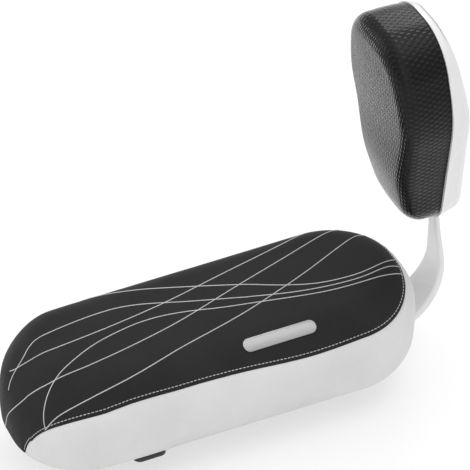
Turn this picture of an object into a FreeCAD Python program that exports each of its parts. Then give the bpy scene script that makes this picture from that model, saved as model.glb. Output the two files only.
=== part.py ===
import FreeCAD, Part
import math
import os
import Sketcher

# Rear rack cushion seat: a padded cushion for a bicycle's rear rack, with a small backrest on a steel arm.
# +X is the direction of travel, +Y the rider's left, +Z up, and z = 0 is the face that sits on the rack.
# Lengths are in millimetres and angles in degrees.

SIZES = (
    # Cushion form, over the cover
    ("seat_length", 350),
    ("seat_front_width", 135),
    ("seat_rear_width", 139),
    ("seat_height", 80.2),
    ("crown_rise", 6.5),
    ("front_corner_radius", 63),
    ("rear_corner_radius", 68.5),
    ("front_shoulder_radius", 36),
    ("rear_shoulder_radius", 32),
    ("front_hem_radius", 7),
    ("front_side_hem_radius", 8),
    ("rear_side_hem_radius", 8),
    ("rear_hem_radius", 22),
    # Cover, seam and what lies under it
    ("cover_thickness", 1.4),
    ("skin_gap", 0.3),
    ("hem_reach", 28),
    ("hem_corner", 30),
    ("seam_height", 61),
    ("seam_rise", 14),
    ("seam_rise_length", 62),
    ("seam_bend_radius", 120),
    ("tongue_bottom_width", 47),
    ("tongue_knee_width", 67),
    ("tongue_knee_height", 37.5),
    ("tongue_top_width", 124),
    ("tongue_bend_radius", 100),
    ("tongue_reach", 70),
    ("staple_length", 9),
    ("staple_leg", 6),
    ("staple_width", 1.3),
    ("staple_wire", 0.6),
    ("staple_pitch", 50),
    ("staple_inset", 24),
    ("front_staple_offset", 14),
    ("rear_staple_offset", 33),
    ("base_thickness", 14),
    ("land_proud", 0.8),
    ("land_length", 110),
    ("land_corner", 8),
    # Badge on the left shoulder
    ("badge_length", 63),
    ("badge_width", 11.2),
    ("badge_thickness", 1),
    ("badge_border", 0.9),
    ("badge_recess", 0.25),
    ("badge_behind_centre", 37.5),
    ("badge_offset", 51),
    ("badge_slope", 25),
    ("badge_drop", 10),
    # Clamps under the base
    ("front_clamp_place", 77),
    ("rear_clamp_place", 120),
    ("front_clamp_length", 120),
    ("rear_clamp_length", 100),
    ("clamp_width", 28),
    ("clamp_thickness", 4),
    ("clamp_corner", 6),
    ("clamp_drop", 4),
    ("bolt_spacing", 64),
    ("bolt_radius", 3),
    ("bolt_head_radius", 7),
    ("bolt_head_height", 3.6),
    ("bolt_reach", 27),
    ("slot_travel", 8),
    ("hole_clearance", 0.35),
    ("washer_radius", 7),
    ("washer_thickness", 1.5),
    ("nut_hub_radius", 5.5),
    ("nut_hub_height", 7),
    ("wing_span", 27),
    ("wing_height", 9),
    ("wing_thickness", 2.5),
    # Steel arm
    ("arm_sheet", 2.5),
    ("arm_foot_width", 38),
    ("arm_top_width", 13.5),
    ("arm_foot_flange", 6.5),
    ("arm_top_flange", 3),
    ("arm_bend_radius", 50),
    ("arm_edge_radius", 2.2),
    ("arm_lean", 4),
    ("arm_behind_seat", 30),
    ("arm_foot_length", 100),
    ("arm_foot_top", 11.6),
    ("arm_neck_start", 14),
    ("arm_neck_end", 98),
    ("arm_flow_radius", 150),
    ("arm_tongue", 96),
    ("arm_clearance", 0.5),
    ("foot_screw_radius", 3),
    ("foot_screw_pitch", 28),
    ("foot_screw_start", 16),
    # Backrest
    ("back_rise", 112),
    ("back_height", 186),
    ("back_wide_height", 122),
    ("back_wide_width", 111),
    ("back_top_width", 72),
    ("back_bottom_width", 60),
    ("back_top_radius", 40),
    ("back_side_radius", 90),
    ("back_bottom_radius", 27),
    ("pad_top_depth", 50),
    ("pad_foot_depth", 34),
    ("pad_taper", 3),
    ("pad_edge_radius", 13),
    ("board_thickness", 6),
    ("back_hem_width", 12),
    ("shell_wall", 2.5),
    ("shell_gap", 0.3),
    ("shell_depth", 12),
    ("shell_top_depth", 4.2),
    ("shell_ridge_drop", 71),
    ("shell_ridge_radius", 60),
    ("shell_rim", 9.2),
    ("shell_rim_top", 4.9),
    ("shell_ledge", 4),
    ("shell_edge_radius", 9),
    ("shell_taper", 8),
    ("arm_screw_radius", 2.5),
    ("arm_screw_low", 34),
    ("arm_screw_high", 72),
    ("shell_screw_radius", 1.9),
    ("shell_screw_half_width", 20),
    ("shell_screw_low", 40),
    ("shell_screw_high", 100),
    ("shell_boss_radius", 4.5),
)

doc = FreeCAD.newDocument("rack_cushion_seat")
sheet = doc.addObject("Spreadsheet::Sheet", "Sizes")
for row, (alias, number) in enumerate(SIZES, start=1):
    sheet.set("A%d" % row, alias)
    sheet.set("B%d" % row, str(number))
    sheet.setAlias("B%d" % row, alias)
doc.recompute()


class Size:
    """A number together with the spreadsheet expression that gives it."""

    def __init__(self, value, text):
        self.value = float(value)
        self.text = text

    def __add__(self, other):
        other = as_size(other)
        return Size(self.value + other.value, "(%s + %s)" % (self.text, other.text))

    def __sub__(self, other):
        other = as_size(other)
        return Size(self.value - other.value, "(%s - %s)" % (self.text, other.text))

    def __mul__(self, other):
        other = as_size(other)
        return Size(self.value * other.value, "(%s * %s)" % (self.text, other.text))

    def __truediv__(self, other):
        other = as_size(other)
        return Size(self.value / other.value, "(%s / %s)" % (self.text, other.text))

    def __neg__(self):
        return Size(-self.value, "(-1 * %s)" % self.text)

    __radd__ = __add__
    __rmul__ = __mul__

    def __rsub__(self, other):
        return as_size(other) - self


def as_size(thing):
    return thing if isinstance(thing, Size) else Size(thing, repr(float(thing)))


def smaller(first, second):
    first, second = as_size(first), as_size(second)
    return Size(min(first.value, second.value), "min(%s; %s)" % (first.text, second.text))


def trig(name, angle):
    """The sine, cosine or tangent of an angle in degrees."""
    return Size(getattr(math, name)(math.radians(angle.value)), "%s(%s)" % (name, angle.text))


class Sizes:
    """The sheet's cells as Size values, by alias."""

    def __getattr__(self, alias):
        return Size(sheet.get(alias), "Sizes." + alias)


s = Sizes()
V = FreeCAD.Vector


def bind(thing, prop, size):
    thing.setExpression(prop, as_size(size).text)


def place(thing, x=0, y=0, z=0):
    """Bind an object's position to sizes."""
    for axis, size in (("x", x), ("y", y), ("z", z)):
        bind(thing, "Placement.Base." + axis, size)
    return thing


def lean_back(thing):
    """Set a backrest piece in the backrest's own leaning frame."""
    thing.Placement = FreeCAD.Placement(V(0, 0, 0), FreeCAD.Rotation(V(0, 1, 0), 1))
    bind(thing, "Placement.Rotation.Angle", s.arm_lean)
    return place(thing, back_x, 0, back_z)


def new_body(name):
    body = doc.addObject("PartDesign::Body", name)
    body.Label = name
    return body


def new_sketch(body, role, lift=0):
    """A sketch on one of the body's own origin planes, lifted along its normal."""
    plane = [feature for feature in body.Origin.OriginFeatures if feature.Role == role][0]
    sketch = body.newObject("Sketcher::SketchObject", body.Name + "_sketch")
    sketch.AttachmentSupport = [(plane, "")]
    sketch.MapMode = "FlatFace"
    bind(sketch, "AttachmentOffset.Base.z", lift)
    return sketch


def hold(sketch, kind, geometry, point, size):
    """A distance from the sketch's origin, bound to a size."""
    index = sketch.addConstraint(Sketcher.Constraint(kind, -1, 1, geometry, point, size.value))
    sketch.setExpression("Constraints[%d]" % index, size.text)


def draw_loop(sketch, corners):
    """A closed loop of straight lines through corners."""
    corners = [(as_size(x), as_size(y)) for x, y in corners]
    ends = corners[1:] + corners[:1]
    lines = []
    for (x0, y0), (x1, y1) in zip(corners, ends):
        line = Part.LineSegment(V(x0.value, y0.value, 0), V(x1.value, y1.value, 0))
        lines.append(sketch.addGeometry(line, False))
    for line, following in zip(lines, lines[1:] + lines[:1]):
        sketch.addConstraint(Sketcher.Constraint("Coincident", line, 2, following, 1))
    for line, (x, y) in zip(lines, corners):
        hold(sketch, "DistanceX", line, 1, x)
        hold(sketch, "DistanceY", line, 1, y)
    return sketch


def draw_circle(sketch, x, y, radius):
    x, y, radius = as_size(x), as_size(y), as_size(radius)
    circle = sketch.addGeometry(Part.Circle(V(x.value, y.value, 0), V(0, 0, 1), radius.value), False)
    hold(sketch, "DistanceX", circle, 3, x)
    hold(sketch, "DistanceY", circle, 3, y)
    index = sketch.addConstraint(Sketcher.Constraint("Radius", circle, radius.value))
    sketch.setExpression("Constraints[%d]" % index, radius.text)
    return sketch


def box_corners(x0, x1, y0, y1):
    return [(x0, y0), (x1, y0), (x1, y1), (x0, y1)]


def mirrored(half):
    """Close a half outline, given from bottom to top on the positive side, by its mirror image."""
    return list(half) + [(-as_size(x), y) for x, y in reversed(half)]


def pad(body, sketch, length, symmetric=False, backwards=False, taper=None):
    feature = body.newObject("PartDesign::Pad", body.Name + "_pad")
    feature.Profile = sketch
    bind(feature, "Length", length)
    feature.Reversed = backwards
    if symmetric:
        feature.SideType = "Symmetric"
    if taper is not None:
        bind(feature, "TaperAngle", taper)
    doc.recompute()
    return feature


def pocket(body, sketch, length, backwards=False):
    feature = body.newObject("PartDesign::Pocket", body.Name + "_pocket")
    feature.Profile = sketch
    bind(feature, "Length", length)
    feature.Reversed = backwards
    doc.recompute()
    return feature


def pocket_both_ways(body, sketch):
    """Cut a sketch right through the body on both sides of its plane."""
    feature = body.newObject("PartDesign::Pocket", body.Name + "_pocket")
    feature.Profile = sketch
    feature.Type = "ThroughAll"
    feature.SideType = "Symmetric"
    doc.recompute()
    return feature


def turn(body, profile):
    """A solid of revolution about the body's Z axis from a half profile of (radius, height) corners."""
    sketch = draw_loop(new_sketch(body, "XZ_Plane"), profile)
    feature = body.newObject("PartDesign::Revolution", body.Name + "_turn")
    feature.Profile = sketch
    feature.ReferenceAxis = (sketch, ["V_Axis"])
    doc.recompute()
    return feature


def edge_ends(edge):
    return edge.valueAt(edge.FirstParameter), edge.valueAt(edge.LastParameter)


def round_edges(body, radius, wanted):
    """A fillet on the edges of the body's tip whose two ends pass a test."""
    tip = body.Tip
    names = []
    for index, edge in enumerate(tip.Shape.Edges, start=1):
        if wanted(*edge_ends(edge)):
            names.append("Edge%d" % index)
    feature = body.newObject("PartDesign::Fillet", body.Name + "_round")
    feature.Base = (tip, names)
    bind(feature, "Radius", radius)
    doc.recompute()
    return feature


def boolean(kind, name, base, tool):
    thing = doc.addObject("Part::" + kind, name)
    thing.Label = name
    thing.Base = base
    thing.Tool = tool
    doc.recompute()
    return thing


def cut(name, base, tool):
    return boolean("Cut", name, base, tool)


def common(name, base, tool):
    return boolean("Common", name, base, tool)


def fuse(name, base, tool):
    return boolean("Fuse", name, base, tool)


def box(name, x0, x1, y0, y1, z0, z1):
    """A box between bound limits."""
    thing = doc.addObject("Part::Box", name)
    bind(thing, "Length", as_size(x1) - x0)
    bind(thing, "Width", as_size(y1) - y0)
    bind(thing, "Height", as_size(z1) - z0)
    place(thing, x0, y0, z0)
    doc.recompute()
    return thing


def group(name, source, spots, across=False):
    """Separate copies of one piece, each turned about its own axis, held together under one name.

    A piece that lies across has its Z axis along X."""
    lay = FreeCAD.Rotation(V(0, 1, 0), 90 if across else 0)
    copies = []
    for index, (x, y, z, angle) in enumerate(spots, start=1):
        copy = doc.addObject("App::Link", "%s_%d" % (name, index))
        copy.LinkedObject = source
        copy.LinkTransform = False
        copy.Placement = FreeCAD.Placement(V(0, 0, 0), lay.multiply(FreeCAD.Rotation(V(0, 0, 1), angle)))
        place(copy, x, y, z)
        copies.append(copy)
    together = doc.addObject("Part::Compound", name)
    together.Label = name
    together.Links = copies
    doc.recompute()
    return together


nodes = []


def keep(thing):
    nodes.append(thing)
    return thing


# Places that several pieces share
seat_bottom = s.land_proud
seat_top = s.land_proud + s.seat_height
seat_rear = -s.seat_length / 2
base_bottom = s.land_proud + s.cover_thickness + s.skin_gap
base_top = base_bottom + s.base_thickness
clamp_top = -s.clamp_drop
clamp_bottom = clamp_top - s.clamp_thickness
washer_bottom = clamp_bottom - s.washer_thickness
bolt_seat = base_top - s.bolt_head_height
arm_web_bottom = s.arm_foot_top - s.arm_sheet
arm_corner_x = seat_rear - s.arm_behind_seat
arm_sin = trig("sin", s.arm_lean)
arm_cos = trig("cos", s.arm_lean)
back_z = s.arm_foot_top + s.back_rise * arm_cos
back_x = arm_corner_x + s.back_rise * arm_sin
far_away = s.seat_length * 2


# Cushion form

def seat_form(name, inset):
    """The cushion's loaf shape, shrunk on every side by an inset."""
    inset = as_size(inset)
    front = s.seat_length / 2 - inset
    front_half = s.seat_front_width / 2 - inset
    rear_half = s.seat_rear_width / 2 - inset
    bottom = seat_bottom + inset
    top = seat_top - inset
    body = new_body(name + "_block")
    outline = new_sketch(body, "XY_Plane", bottom)
    draw_loop(outline, [(front, -front_half), (front, front_half), (-front, rear_half), (-front, -rear_half)])
    pad(body, outline, top - bottom)
    upright = lambda a, b: abs(a.z - b.z) > 1
    round_edges(body, smaller(s.front_corner_radius, s.seat_front_width * 0.47) - inset,
                lambda a, b: upright(a, b) and a.x > 0)
    round_edges(body, smaller(s.rear_corner_radius, s.seat_rear_width * 0.47) - inset,
                lambda a, b: upright(a, b) and a.x < -1 and abs(a.y) > rear_half.value - 1)
    crown = doc.addObject("Part::Cylinder", name + "_crown")
    half = s.seat_rear_width / 2
    crown_radius = (half * half + s.crown_rise * s.crown_rise) / (s.crown_rise * 2)
    crown.Placement = FreeCAD.Placement(V(0, 0, 0), FreeCAD.Rotation(V(0, 1, 0), 90))
    bind(crown, "Radius", crown_radius - inset)
    bind(crown, "Height", far_away)
    place(crown, -far_away / 2, 0, seat_top - crown_radius)
    domed = common(name + "_domed", body, crown)
    form = doc.addObject("Part::Fillet", name)
    form.Base = domed
    middle = (seat_bottom + seat_top) / 2
    radii = {
        "top": (s.front_shoulder_radius - inset, s.rear_shoulder_radius - inset),
        "bottom": (s.front_hem_radius - inset, s.rear_hem_radius - inset),
        "bottom side": (s.front_side_hem_radius - inset, s.rear_side_hem_radius - inset),
    }

    def rim_radius(end):
        at = "top" if end.z > middle.value else "bottom"
        if at == "bottom" and abs(end.y) > front_half.value * 0.7:
            at = "bottom side"
        front_radius, rear_radius = radii[at]
        return front_radius.value if end.x > 0 else rear_radius.value

    rims = []
    for index, edge in enumerate(domed.Shape.Edges, start=1):
        ends = edge_ends(edge)
        if abs(ends[0].z - ends[1].z) > s.crown_rise.value + 1:
            continue
        if ends[0].z > middle.value and is_crown_seam(edge, ends):
            continue
        rims.append((index, rim_radius(ends[0]), rim_radius(ends[1])))
    form.Edges = rims
    doc.recompute()
    return form


def is_crown_seam(edge, ends):
    """Whether an edge only divides the crown's face along its length."""
    return abs(ends[0].y) < 0.01 and abs(ends[1].y) < 0.01


outer_form = seat_form("seat_outer", 0)
lining_form = seat_form("seat_lining", s.cover_thickness)
core_form = seat_form("seat_core", s.cover_thickness + s.skin_gap)

# Seam between the black top and the white side band

def white_zone():
    """All that lies below the seam, apart from the black tongue over the front end."""
    below = new_body("below_seam")
    kink = seat_rear + s.seam_rise_length / 2
    slope = s.seam_rise * 2 / s.seam_rise_length
    past = s.seat_length / 4
    profile = new_sketch(below, "XZ_Plane")
    draw_loop(profile, [
        (-far_away, -far_away),
        (far_away, -far_away),
        (far_away, s.seam_height),
        (kink, s.seam_height),
        (kink - past, s.seam_height + past * slope),
        (-far_away, s.seam_height + past * slope),
    ])
    pad(below, profile, far_away, symmetric=True)
    at_kink = lambda a, b: abs(a.x - kink.value) < 0.01 and abs(b.x - kink.value) < 0.01
    round_edges(below, s.seam_bend_radius, at_kink)
    tongue = new_body("front_tongue")
    section = new_sketch(tongue, "YZ_Plane", s.seat_length / 2 - s.tongue_reach)
    knee = s.tongue_knee_width / 2
    draw_loop(section, mirrored([
        (s.tongue_bottom_width / 2, -far_away),
        (s.tongue_bottom_width / 2, 0),
        (knee, s.tongue_knee_height),
        (s.tongue_top_width / 2, s.seam_height),
        (far_away, s.seam_height),
        (far_away, far_away),
    ]))
    pad(tongue, section, far_away)
    at_knee = lambda a: abs(abs(a.y) - knee.value) < 0.01 and abs(a.z - s.tongue_knee_height.value) < 0.01
    round_edges(tongue, s.tongue_bend_radius, lambda a, b: at_knee(a) and at_knee(b))
    return cut("white_zone", below, tongue)


# Staple, a flat wire bent to a square U, with its crown along X

def staple(name):
    body = new_body(name)
    half = s.staple_length / 2
    wire = s.staple_wire
    profile = new_sketch(body, "XZ_Plane")
    draw_loop(profile, [
        (-half, 0),
        (half, 0),
        (half, s.staple_leg),
        (half - wire, s.staple_leg),
        (half - wire, wire),
        (wire - half, wire),
        (wire - half, s.staple_leg),
        (-half, s.staple_leg),
    ])
    pad(body, profile, s.staple_width, symmetric=True)
    return body


def half_width_at(x):
    """Half of the cushion's width at a place along it."""
    middle = (s.seat_front_width + s.seat_rear_width) / 4
    return middle + (s.seat_front_width - s.seat_rear_width) / 2 * x / s.seat_length


def seat_staples():
    inset = s.staple_inset
    height = seat_bottom - s.staple_wire
    spots = []
    for step in (-2, -1, 0, 1, 2):
        x = s.staple_pitch * step
        for side in (1, -1):
            spots.append((x, (half_width_at(x) - inset) * side, height, 0))
    end = s.seat_length / 2 - inset
    for side in (1, -1):
        spots.append((end, s.front_staple_offset * side, height, 90))
        spots.append((-end, s.rear_staple_offset * side, height, 90))
    return group("cover_staples", staple("seat_staple"), spots)


# Steel arm: a pressed channel with its edges turned away from the cushion

def arm_path(offset):
    """Three places on the arm's face, moved into the metal: the bend's corner, the neck and the upper end."""
    offset = as_size(offset)
    corner = (arm_corner_x - offset * (arm_sin + 1) / arm_cos, s.arm_foot_top - offset)
    places = [corner]
    for reach in (s.back_rise, s.back_rise + s.arm_tongue):
        x = arm_corner_x + reach * arm_sin - offset * arm_cos
        places.append((x, s.arm_foot_top + reach * arm_cos + offset * arm_sin))
    return places


def arm_bar(name, near, foot_depth, top_depth, widen, longer):
    """A bent, tapering bar that follows the arm, between two depths behind its face."""
    near, widen = as_size(near), as_size(widen)
    band = new_body(name + "_band")
    near_corner, _, near_end = arm_path(near)
    far_corner, _, _ = arm_path(foot_depth)
    _, far_neck, far_end = arm_path(top_depth)
    foot = seat_rear + s.arm_foot_length + longer
    profile = new_sketch(band, "XZ_Plane")
    draw_loop(profile, [
        (foot, near_corner[1]),
        near_corner,
        (near_end[0] + arm_sin * longer, near_end[1] + arm_cos * longer),
        (far_end[0] + arm_sin * longer, far_end[1] + arm_cos * longer),
        far_neck,
        far_corner,
        (foot, far_corner[1]),
    ])
    pad(band, profile, s.seat_rear_width, symmetric=True)
    for corner, depth in ((near_corner, near), (far_corner, foot_depth)):
        spot = V(corner[0].value, 0, corner[1].value)
        at_corner = lambda a, b, spot=spot: abs(a.x - spot.x) + abs(a.z - spot.z) < 0.01 and abs(a.y - b.y) > 1
        round_edges(band, s.arm_bend_radius + depth, at_corner)
    front = new_body(name + "_front")
    foot_half = s.arm_foot_width / 2 + widen
    top_half = s.arm_top_width / 2 + widen
    outline = new_sketch(front, "YZ_Plane")
    draw_loop(outline, mirrored([
        (foot_half, -far_away),
        (foot_half, s.arm_neck_start),
        (top_half, s.arm_neck_end),
        (top_half, far_away),
    ]))
    pad(front, outline, far_away, symmetric=True)
    for level in (s.arm_neck_start, s.arm_neck_end):
        at_level = lambda a, b, z=level.value: abs(a.z - z) + abs(b.z - z) < 0.01
        round_edges(front, s.arm_flow_radius, at_level)
    return common(name, band, front)


def on_arm_face(point):
    """Whether a point lies on the arm's upper and front face."""
    corner, _, end = arm_path(0)
    if abs(point.z - corner[1].value) < 0.01:
        return True
    along = V(arm_sin.value, 0, arm_cos.value)
    from_end = V(point.x - end[0].value, 0, point.z - end[1].value)
    if abs(from_end.dot(V(along.z, 0, -along.x))) < 0.01:
        return True
    return False


def backrest_arm():
    bar = arm_bar("arm_bar", 0, s.arm_foot_flange, s.arm_top_flange, 0, 0)
    soft = doc.addObject("Part::Fillet", "arm_soft")
    soft.Base = bar
    edges = []
    radius = s.arm_edge_radius.value
    for index, edge in enumerate(bar.Shape.Edges, start=1):
        ends = edge_ends(edge)
        along = ends[0].y * ends[1].y > 0
        if along and on_arm_face(ends[0]) and on_arm_face(ends[1]):
            edges.append((index, radius, radius))
    soft.Edges = edges
    doc.recompute()
    hollow = arm_bar("arm_hollow", s.arm_sheet, s.arm_foot_flange + 6, s.arm_top_flange + 6, -s.arm_sheet, 6)
    channel = cut("arm_channel", soft, hollow)
    foot_holes = doc.addObject("Part::Cylinder", "foot_hole")
    bind(foot_holes, "Radius", s.foot_screw_radius + s.hole_clearance)
    bind(foot_holes, "Height", s.arm_foot_top * 2)
    drilled = cut("arm_drilled", channel, group("foot_holes", foot_holes, foot_screw_spots(0)))
    top_hole = doc.addObject("Part::Cylinder", "tongue_hole")
    bind(top_hole, "Radius", s.arm_screw_radius + s.hole_clearance)
    bind(top_hole, "Height", s.arm_sheet * 4)
    top_holes = lean_back(group("tongue_holes", top_hole, arm_screw_spots(-s.arm_sheet * 2), across=True))
    doc.recompute()
    return cut("backrest_arm", drilled, top_holes)


def foot_screw_spots(z):
    first = seat_rear + s.arm_foot_length - s.foot_screw_start
    return [(first - s.foot_screw_pitch * step, 0, z, 0) for step in (0, 1, 2)]


def arm_screw_spots(x):
    return [(x, 0, s.arm_screw_low, 0), (x, 0, s.arm_screw_high, 0)]


# Turned fasteners, all along Z

def clamp_bolt():
    body = new_body("clamp_bolt")
    r, head = s.bolt_radius, s.bolt_head_radius
    tip = -s.bolt_reach
    turn(body, [
        (0, tip),
        (r * 0.8, tip),
        (r, tip + r * 0.2),
        (r, bolt_seat),
        (head, bolt_seat),
        (head, bolt_seat + s.bolt_head_height * 0.35),
        (head * 0.65, bolt_seat + s.bolt_head_height * 0.85),
        (0, bolt_seat + s.bolt_head_height),
    ])
    return body


def ring(name, bore, radius, thickness):
    body = new_body(name)
    turn(body, [(bore, 0), (radius, 0), (radius, thickness), (bore, thickness)])
    return body


def wing_nut():
    """A wing nut that hangs below its seat, with its wings along X."""
    body = new_body("wing_nut")
    bore = s.bolt_radius + s.hole_clearance
    hub, tall = s.nut_hub_radius, s.nut_hub_height
    turn(body, [(bore, 0), (hub, 0), (hub * 0.85, -tall), (bore, -tall)])
    tip = s.wing_span / 2
    for side in (1, -1):
        wing = new_sketch(body, "XZ_Plane")
        draw_loop(wing, [
            ((bore + 0.4) * side, -tall * 0.15),
            (hub * side, -tall * 0.15),
            (tip * side, -s.wing_height * 0.7),
            ((tip - 1) * side, -s.wing_height),
            ((tip - 4) * side, -s.wing_height),
            ((bore + 0.4) * side, -tall * 0.85),
        ])
        pad(body, wing, s.wing_thickness, symmetric=True)
    return body


def screw(name, radius, head_radius, head_height, length):
    """A screw whose head lies below z = 0 and whose shank stands above it."""
    body = new_body(name)
    turn(body, [
        (0, -head_height),
        (head_radius * 0.8, -head_height),
        (head_radius, -head_height * 0.5),
        (head_radius, 0),
        (radius, 0),
        (radius, length - radius * 0.3),
        (radius * 0.7, length),
        (0, length),
    ])
    socket = draw_circle(new_sketch(body, "XY_Plane", -head_height), 0, 0, radius * 0.6)
    pocket(body, socket, head_height * 0.6, backwards=True)
    return body


def tee_nut(name, bore, barrel, flange, flange_thickness, length):
    """A tee nut whose flange lies below z = 0, with the barrel hanging under it."""
    body = new_body(name)
    turn(body, [
        (bore, 0),
        (flange, 0),
        (flange, -flange_thickness),
        (barrel, -flange_thickness),
        (barrel, -length),
        (bore, -length),
    ])
    return body


def hole_tool(name, bore, seat, wide, low, high):
    """A stepped drill: a bore from low to seat and a wider sinking from seat to high."""
    body = new_body(name)
    turn(body, [(0, low), (bore, low), (bore, seat), (wide, seat), (wide, high), (0, high)])
    return body


# Cushion pieces

zone = white_zone()
staples = keep(seat_staples())
arm_room = arm_bar("arm_room", -s.skin_gap, s.arm_foot_flange + 20, s.arm_foot_flange + 20, s.arm_clearance, 4)
hem = new_body("hem_opening")
hem_inset = s.hem_reach
hem_front = s.seat_length / 2 - hem_inset
hem_outline = new_sketch(hem, "XY_Plane", -s.seat_height)
draw_loop(hem_outline, [
    (hem_front, hem_inset - s.seat_front_width / 2),
    (hem_front, s.seat_front_width / 2 - hem_inset),
    (-hem_front, s.seat_rear_width / 2 - hem_inset),
    (-hem_front, hem_inset - s.seat_rear_width / 2),
])
pad(hem, hem_outline, s.seat_height + base_bottom)
round_edges(hem, s.hem_corner, lambda a, b: abs(a.z - b.z) > 1)

skin = cut("seat_skin", outer_form, lining_form)
skin = cut("open_skin", skin, hem)
skin = cut("slotted_skin", skin, arm_room)
skin = cut("stapled_skin", skin, staples)
keep(cut("seat_top_cover", skin, zone))
keep(common("seat_side_cover", skin, zone))

base_slab = box("base_slab", -far_away, far_away, -far_away, far_away, -far_away, base_top)
keep(cut("seat_foam", core_form, base_slab))

land = new_body("rack_land")
land_outline = new_sketch(land, "XY_Plane")
land_half = half_width_at(s.land_length / 2) - hem_inset - s.arm_clearance
draw_loop(land_outline, box_corners(-s.land_length / 2, s.land_length / 2, -land_half, land_half))
pad(land, land_outline, base_bottom + s.skin_gap)
round_edges(land, s.land_corner, lambda a, b: abs(a.z - b.z) > 1)

clamp_spots = []
for clamp_x in (s.front_clamp_place, -s.rear_clamp_place):
    for side in (1, -1):
        clamp_spots.append((clamp_x, s.bolt_spacing / 2 * side, 0, 0))
bolt_hole = hole_tool("bolt_hole", s.bolt_radius + s.hole_clearance, bolt_seat,
                      s.bolt_head_radius + s.hole_clearance, -far_away, far_away)
foot_nut_bore = s.foot_screw_radius + s.skin_gap
foot_nut_barrel = s.foot_screw_radius + 1.2
foot_nut_flange = s.foot_screw_radius * 3
foot_nut_sheet = s.arm_sheet / 2
nut_hole = hole_tool("nut_hole", foot_nut_barrel + s.skin_gap, base_top - foot_nut_sheet,
                     foot_nut_flange + s.skin_gap, -far_away, far_away)
base = common("base_plain", core_form, base_slab)
base = fuse("base_landed", base, land)
base = cut("base_channelled", base, arm_room)
base = cut("base_bolted", base, group("bolt_holes", bolt_hole, clamp_spots))
base = cut("base_nutted", base, group("nut_holes", nut_hole, foot_screw_spots(0)))
keep(cut("seat_base", base, staples))


def badge_stadium(name, inset):
    """A block with the badge's long rounded outline, square to the top where the badge lies."""
    body = new_body(name)
    half_long, half_wide = s.badge_length / 2 - inset, s.badge_width / 2 - inset
    outline = new_sketch(body, "XY_Plane")
    draw_loop(outline, box_corners(-half_long, half_long, -half_wide, half_wide))
    pad(body, outline, s.badge_width * 1.8, symmetric=True)
    round_edges(body, half_wide * 0.98, lambda a, b: abs(a.z - b.z) > 1)
    body.Placement = FreeCAD.Placement(V(0, 0, 0), FreeCAD.Rotation(V(-1, 0, 0), 1))
    bind(body, "Placement.Rotation.Angle", s.badge_slope)
    return place(body, -s.badge_behind_centre, s.badge_offset, seat_top - s.badge_drop)


badge_blank = seat_form("badge_blank", -s.badge_thickness)
badge_floor = seat_form("badge_floor", s.badge_recess - s.badge_thickness)
badge_bed = seat_form("badge_bed", -s.skin_gap)
badge_edge = badge_stadium("badge_edge", 0)
badge_middle = badge_stadium("badge_middle", s.badge_border)
doc.recompute()
badge = common("badge_bordered", cut("badge_skin", badge_blank, badge_bed), badge_edge)
keep(cut("badge_plate", badge, cut("badge_recess", badge_middle, badge_floor)))


# Clamps

def clamp_plate(name, length):
    body = new_body(name)
    half_long, half_wide = length / 2, s.clamp_width / 2
    outline = new_sketch(body, "XY_Plane")
    draw_loop(outline, box_corners(-half_wide, half_wide, -half_long, half_long))
    pad(body, outline, s.clamp_thickness)
    round_edges(body, s.clamp_corner, lambda a, b: abs(a.z - b.z) > 1)
    slot = s.bolt_radius + s.hole_clearance
    for side in (1, -1):
        centre = s.bolt_spacing / 2 * side
        low, high = centre - s.slot_travel / 2, centre + s.slot_travel / 2
        middle = draw_loop(new_sketch(body, "XY_Plane"), box_corners(-slot, slot, low, high))
        pocket(body, middle, s.clamp_thickness, backwards=True)
        for end in (low, high):
            pocket(body, draw_circle(new_sketch(body, "XY_Plane"), 0, end, slot), s.clamp_thickness, backwards=True)
    return body


keep(group("clamp_bolts", clamp_bolt(), clamp_spots))
washer = ring("clamp_washer", s.bolt_radius + s.hole_clearance, s.washer_radius, s.washer_thickness)
nut = wing_nut()
for end, spots, clamp_x, length in (
    ("front", clamp_spots[:2], s.front_clamp_place, s.front_clamp_length),
    ("rear", clamp_spots[2:], -s.rear_clamp_place, s.rear_clamp_length),
):
    keep(place(clamp_plate(end + "_clamp_plate", length), clamp_x, 0, clamp_bottom))
    keep(group(end + "_clamp_washers", washer, [(x, y, washer_bottom, 0) for x, y, _, _ in spots]))
    keep(group(end + "_wing_nuts", nut, [(x, y, washer_bottom, 0) for x, y, _, _ in spots]))


# Arm and what holds its foot

keep(backrest_arm())
foot_screw_length = base_top - arm_web_bottom - 1
foot_screw = screw("foot_screw", s.foot_screw_radius, s.foot_screw_radius * 1.8, s.foot_screw_radius,
                   foot_screw_length)
keep(group("foot_screws", foot_screw, foot_screw_spots(arm_web_bottom)))
foot_nut = tee_nut("foot_tee_nut", foot_nut_bore, foot_nut_barrel, foot_nut_flange, foot_nut_sheet,
                   base_top - s.arm_foot_top - 0.5)
keep(group("foot_tee_nuts", foot_nut, foot_screw_spots(base_top)))


# Backrest, built upright on the face of the arm and then leaned with it

def back_outline(grow):
    """Half of the backrest's outline from bottom to top, grown or shrunk by a margin."""
    grow = as_size(grow)
    return mirrored([
        (s.back_bottom_width / 2 + grow, -grow),
        (s.back_wide_width / 2 + grow, s.back_wide_height),
        (s.back_top_width / 2 + grow, s.back_height + grow),
    ])


def round_back_corners(body, grow):
    """Round the six long edges of a backrest block."""
    grow = as_size(grow)
    levels = (
        (-grow, s.back_bottom_radius),
        (s.back_wide_height, s.back_side_radius),
        (s.back_height + grow, s.back_top_radius),
    )
    for level, radius in levels:
        near = lambda a, b, z=level.value: abs(a.x - b.x) > 1 and min(abs(a.z - z), abs(b.z - z)) < 0.01
        round_edges(body, radius + grow, near)


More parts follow.
